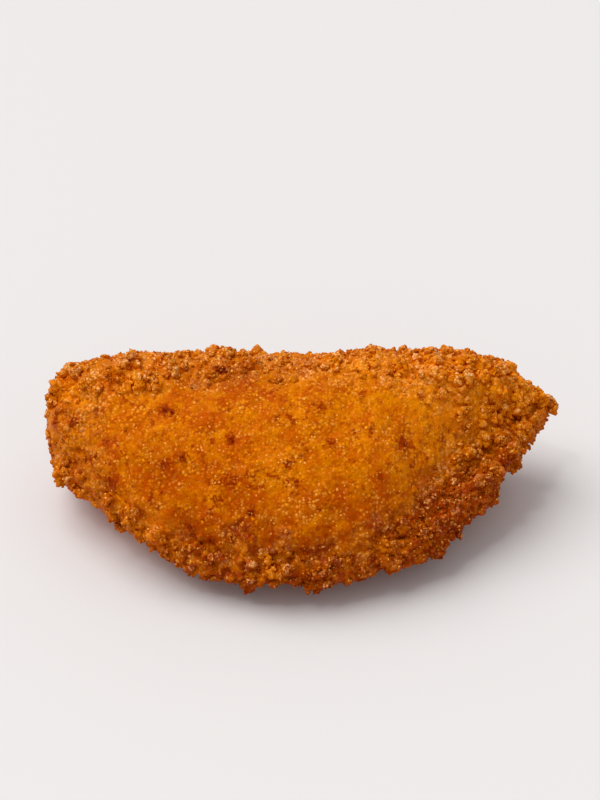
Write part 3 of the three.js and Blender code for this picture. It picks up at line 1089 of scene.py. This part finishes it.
    def surface(self, skin, grain_height, glow, glow_depth):
        """The shader over the skin's colour, with the grains' height in millimetres, and the glow's strength
        and depth."""
        low = self.add("Bump", Height=self.dome, Strength=1.0, Distance=grain_height * MM).outputs[0]
        fine = self.clouds(*FINE_CLOUDS)
        high = self.add("Bump", Height=fine, Strength=1.0, Distance=FINE_DEPTH * MM, Normal=low).outputs[0]
        return self.add(
            "BsdfPrincipled",
            Base_Color=skin,
            Roughness=self.spread(self.clouds(*ROUGH_CLOUDS), *ROUGH_RANGE),
            Normal=high,
            Specular_IOR_Level=SPECULAR,
            Specular_Tint=self.colours["gloss"],
            Subsurface_Weight=glow,
            Subsurface_Radius=GLOW_REACH,
            Subsurface_Scale=glow_depth * MM,
        )


def fried(name, colours, grain, grain_height, highlight_strength, lucky_range, glow):
    """The fried crust's material: its layers of colour from the dough outwards, with painted shade,
    highlights and glints among them, and its surface.
    """
    nodes = FriedCrust(name, colours, grain)
    below = nodes.browning_and_shade()
    skin = nodes.flecked(nodes.rusted_and_shaded(nodes.dough(), below))
    skin = nodes.painted_shade(nodes.highlit_tips(skin, below, highlight_strength), below)
    skin = nodes.painted_glints(nodes.spotted(skin), lucky_range)
    nodes.finish(nodes.surface(skin, grain_height, *glow))
    return nodes.material


def dress(piece):
    """Makes a piece ride with the part."""
    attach(piece, BODY)


def found(*names):
    """The pieces with these names, which have to be there already."""
    missing = [name for name in names if name not in bpy.data.objects]
    if missing:
        raise RuntimeError("make these first: " + ", ".join(missing))
    return [bpy.data.objects[name] for name in names]


class RISSOLE_OT_crust(bpy.types.Operator):
    """Make the crumbed dough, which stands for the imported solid"""

    bl_idname = "rissole.crust"
    bl_label = "Crust"

    def execute(self, context):
        scene = context.scene
        piece = make_crust(scene.rissole_form, scene.rissole_crust)
        dress(piece)
        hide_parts(NODE)
        return {"FINISHED"}


def set_crumbs(context, name, on, density):
    """Sets one kind of crumbs on the pieces named, as thickly as density says."""
    crumbs = context.scene.rissole_crumbs
    kind = name.removesuffix("_crumbs")
    seed_step, level, knobs = CRUMB_KINDS[kind]
    rng = np.random.default_rng(crumbs.seed + seed_step)
    places = scatter(found(*on), getattr(crumbs, kind + "_count"), density, rng)
    dress(make_crumbs(name, places, getattr(crumbs, kind + "_radius"), level, knobs, rng))


class RISSOLE_OT_coarse_crumbs(bpy.types.Operator):
    """Set the coarse crumbs, mostly in clumps on the rim, the fold and the ends"""

    bl_idname = "rissole.coarse_crumbs"
    bl_label = "Coarse crumbs"

    def execute(self, context):
        form = context.scene.rissole_form

        def density(zone, middles):
            clumpy = np.maximum(0, bumps(middles / MM, CLUMP_SPACING) + CLUMP_BREADTH)
            return zone**2 * clumpy + IN_CLUMPS * nearness(form, middles, CLUMPS)

        set_crumbs(context, "coarse_crumbs", ("crust",), density)
        return {"FINISHED"}


class RISSOLE_OT_small_crumbs(bpy.types.Operator):
    """Set the small crumbs on the crust and on the coarse crumbs"""

    bl_idname = "rissole.small_crumbs"
    bl_label = "Small crumbs"

    def execute(self, context):
        def density(zone, middles):
            clumpy = np.maximum(0, bumps(middles / MM, CLUMP_SPACING / 2) + CLUMP_BREADTH)
            return (SMALL_ON_BELLY + zone**2) * clumpy

        set_crumbs(context, "small_crumbs", ("crust", "coarse_crumbs"), density)
        return {"FINISHED"}


class RISSOLE_OT_fine_crumbs(bpy.types.Operator):
    """Set the fine crumbs on everything"""

    bl_idname = "rissole.fine_crumbs"
    bl_label = "Fine crumbs"

    def execute(self, context):
        def density(zone, middles):
            return FINE_ON_BELLY + zone**2

        set_crumbs(context, "fine_crumbs", ("crust", "coarse_crumbs", "small_crumbs"), density)
        return {"FINISHED"}


class RISSOLE_OT_grit(bpy.types.Operator):
    """Set the grit, mostly on the bare belly"""

    bl_idname = "rissole.grit"
    bl_label = "Grit"

    def execute(self, context):
        def density(zone, middles):
            clumpy = np.maximum(LEAST_GRIT, bumps(middles / MM, CLUMP_SPACING) + GRIT_BREADTH)
            return (1 - GRIT_LESS_AMONG_CRUMBS * zone) * clumpy

        set_crumbs(context, "grit", ("crust", "small_crumbs"), density)
        return {"FINISHED"}


class RISSOLE_OT_browning_and_shading(bpy.types.Operator):
    """Brown the crust and the crumbs, with painted shade between them, painted highlights and glints, and
    scorched spots
    """

    bl_idname = "rissole.browning"
    bl_label = "Browning"

    def execute(self, context):
        scene = context.scene
        pieces = found("crust", "coarse_crumbs", "small_crumbs", "fine_crumbs", "grit")
        mark_shade_and_browning(scene.rissole_form, pieces)
        colours = scene.rissole_colours
        skin = fried("Fried crust", colours, *SKIN_GRAIN, TIP_HIGHLIGHT_ON_SKIN, PAINTED_GLINTS_ON_SKIN, SKIN_GLOW)
        crumbs = fried("Fried crumbs", colours, *CRUMB_GRAIN, TIP_HIGHLIGHT_ON_CRUMBS, PAINTED_GLINTS_ON_CRUMBS, CRUMB_GLOW)
        for piece in pieces:
            piece.data.materials.append(skin if piece.name == "crust" else crumbs)
        return {"FINISHED"}


def aim(thing, towards):
    """Turns a lamp so that its light comes from the direction towards."""
    thing.rotation_euler = Vector(towards).to_track_quat("Z", "Y").to_euler()


def add_lamp(name, strength, width, towards):
    lamp = bpy.data.lights.new(name, "SUN")
    lamp.energy = strength
    lamp.angle = width
    thing = bpy.data.objects.new(name, lamp)
    bpy.context.scene.collection.objects.link(thing)
    aim(thing, towards)


def add_floor(colour_of_floor):
    nodes = Nodes("Floor")
    uneven = nodes.spread(nodes.noise(FLOOR_CLOUDS), *FLOOR_ROUGHNESS)
    shader = nodes.add("BsdfPrincipled", None, Base_Color=colour_of_floor, Roughness=uneven)
    nodes.finish(shader)
    far, low = FLOOR_REACH, -FLOOR_GAP * MM
    corners = np.array([[-far, -far, low], [far, -far, low], [far, far, low], [-far, far, low]])
    floor = make_mesh("floor", corners, np.array([[0, 1, 2, 3]]))
    floor.data.materials.append(nodes.material)


def add_camera(studio):
    """The photograph's camera: it looks down at the rissole, which stands a little below its middle."""
    focal = studio.lens / SENSOR * FRAME_HEIGHT
    tilt = math.atan((AIM_ROW - FRAME_HEIGHT / 2) / focal)
    middle = Vector(AIM_AT) * MM
    back = Vector((0, -math.cos(studio.elevation), math.sin(studio.elevation)))
    camera = bpy.data.cameras.new("Camera")
    camera.lens = studio.lens
    camera.sensor_fit = "VERTICAL"
    camera.sensor_height = SENSOR
    camera.clip_start = NEAREST_SEEN
    thing = bpy.data.objects.new("Camera", camera)
    thing.location = middle + back * studio.distance
    thing.rotation_euler = Euler((math.pi / 2 - studio.elevation + tilt, 0, 0))
    bpy.context.scene.collection.objects.link(thing)
    bpy.context.scene.camera = thing


class RISSOLE_OT_studio(bpy.types.Operator):
    """Make the floor, the light and the camera"""

    bl_idname = "rissole.studio"
    bl_label = "Studio"

    def execute(self, context):
        studio = context.scene.rissole_studio
        add_floor(studio.floor[:])
        add_lamp("Key light", studio.key, studio.softness, KEY_FROM)
        add_lamp("Glint light", studio.glint, GLINT_WIDTH, GLINT_FROM)
        world = bpy.data.worlds.new("Studio")
        world.use_nodes = True
        world.node_tree.nodes["Background"].inputs["Color"].default_value = (1, 1, 1, 1)
        world.node_tree.nodes["Background"].inputs["Strength"].default_value = studio.ambient
        context.scene.world = world
        context.scene.view_settings.view_transform = "Standard"
        add_camera(studio)
        return {"FINISHED"}


OPERATORS = (
    RISSOLE_OT_crust,
    RISSOLE_OT_coarse_crumbs,
    RISSOLE_OT_small_crumbs,
    RISSOLE_OT_fine_crumbs,
    RISSOLE_OT_grit,
    RISSOLE_OT_browning_and_shading,
    RISSOLE_OT_studio,
)
GROUPS = dict(
    rissole_form=RissoleForm,
    rissole_crust=RissoleCrust,
    rissole_crumbs=RissoleCrumbs,
    rissole_colours=RissoleColours,
    rissole_studio=RissoleStudio,
)


class RISSOLE_PT_sidebar(bpy.types.Panel):
    """Sizes, colours and steps of the rissole"""

    bl_label = "Fried rissole"
    bl_space_type = "VIEW_3D"
    bl_region_type = "UI"
    bl_category = "Rissole"

    def draw(self, context):
        for key, group in GROUPS.items():
            box = self.layout.box()
            for name in group.__annotations__:
                box.prop(getattr(context.scene, key), name)
        for operator in OPERATORS:
            self.layout.operator(operator.bl_idname)


def register():
    for group in GROUPS.values():
        bpy.utils.register_class(group)
    for key, group in GROUPS.items():
        setattr(bpy.types.Scene, key, PointerProperty(type=group))
    for operator in OPERATORS:
        bpy.utils.register_class(operator)
    bpy.utils.register_class(RISSOLE_PT_sidebar)


def unregister():
    bpy.utils.unregister_class(RISSOLE_PT_sidebar)
    for operator in reversed(OPERATORS):
        bpy.utils.unregister_class(operator)
    for key, group in GROUPS.items():
        delattr(bpy.types.Scene, key)
        bpy.utils.unregister_class(group)


def main():
    register()
    for operator in OPERATORS:
        family, step = operator.bl_idname.split(".")
        getattr(getattr(bpy.ops, family), step)()


if __name__ == "__main__":
    main()
